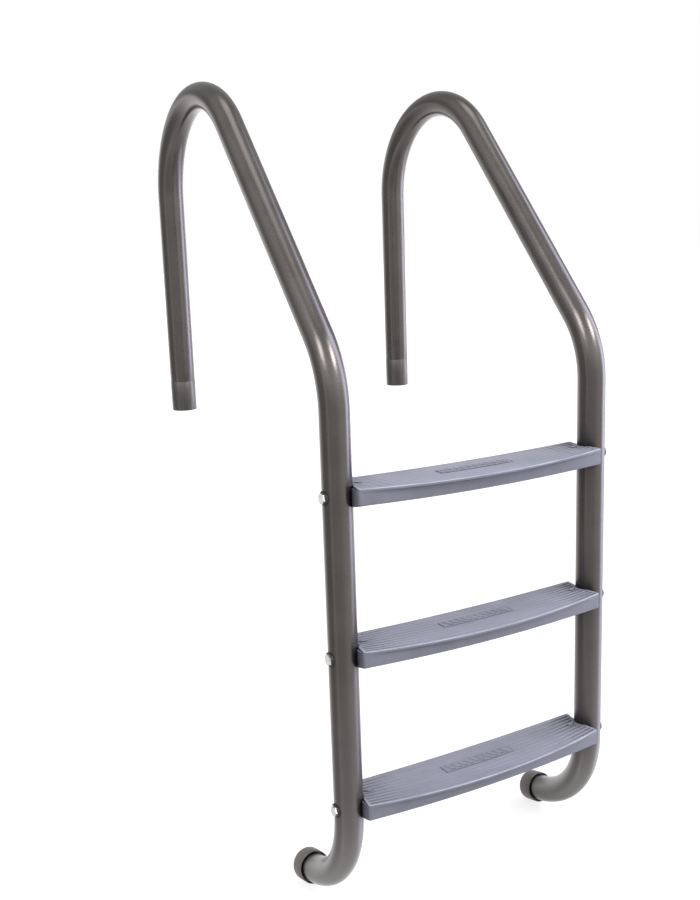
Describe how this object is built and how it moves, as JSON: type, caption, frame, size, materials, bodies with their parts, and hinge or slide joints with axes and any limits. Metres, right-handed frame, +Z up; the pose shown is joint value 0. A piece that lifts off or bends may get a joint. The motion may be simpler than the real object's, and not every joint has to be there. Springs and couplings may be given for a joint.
{
  "type": "pool ladder",
  "caption": "In-ground pool ladder: two bent tube rails that rise to handrails and turn back into deck legs, moulded treads bolted between them, and bumpers for the pool wall.",
  "frame": {"origin": "middle of the bounding box in X and Y, at the height of the bumpers' lowest point", "axes": "+Z up; +X from the left rail to the right rail, seen from the pool; +Y from the pool towards the deck"},
  "size_m": [0.5658, 0.7266, 1.4006],
  "materials": {
    "rail_coating": "pewter grey powder coat with a fine metallic grain, satin",
    "tread_plastic": "blue-grey moulded plastic, satin",
    "stainless": "satin stainless steel",
    "black_nylon": "black moulded nylon",
    "bumper_plastic": "grey moulded plastic, matte"
  },
  "bodies": {
    "root": {"left_rail": "rail_coating", "right_rail": "rail_coating", "upper_tread": "tread_plastic", "middle_tread": "tread_plastic", "lower_tread": "tread_plastic", "upper_left_bolt": "stainless", "upper_left_head_washer": "black_nylon", "upper_left_nut_washer": "stainless", "upper_left_nut": "stainless", "upper_right_bolt": "stainless", "upper_right_head_washer": "black_nylon", "upper_right_nut_washer": "stainless", "upper_right_nut": "stainless", "middle_left_bolt": "stainless", "middle_left_head_washer": "black_nylon", "middle_left_nut_washer": "stainless", "middle_left_nut": "stainless", "middle_right_bolt": "stainless", "middle_right_head_washer": "black_nylon", "middle_right_nut_washer": "stainless", "middle_right_nut": "stainless", "lower_left_bolt": "stainless", "lower_left_head_washer": "black_nylon", "lower_left_nut_washer": "stainless", "lower_left_nut": "stainless", "lower_right_bolt": "stainless", "lower_right_head_washer": "black_nylon", "lower_right_nut_washer": "stainless", "lower_right_nut": "stainless", "left_bumper": "bumper_plastic", "right_bumper": "bumper_plastic"}
  },
  "joints": []
}
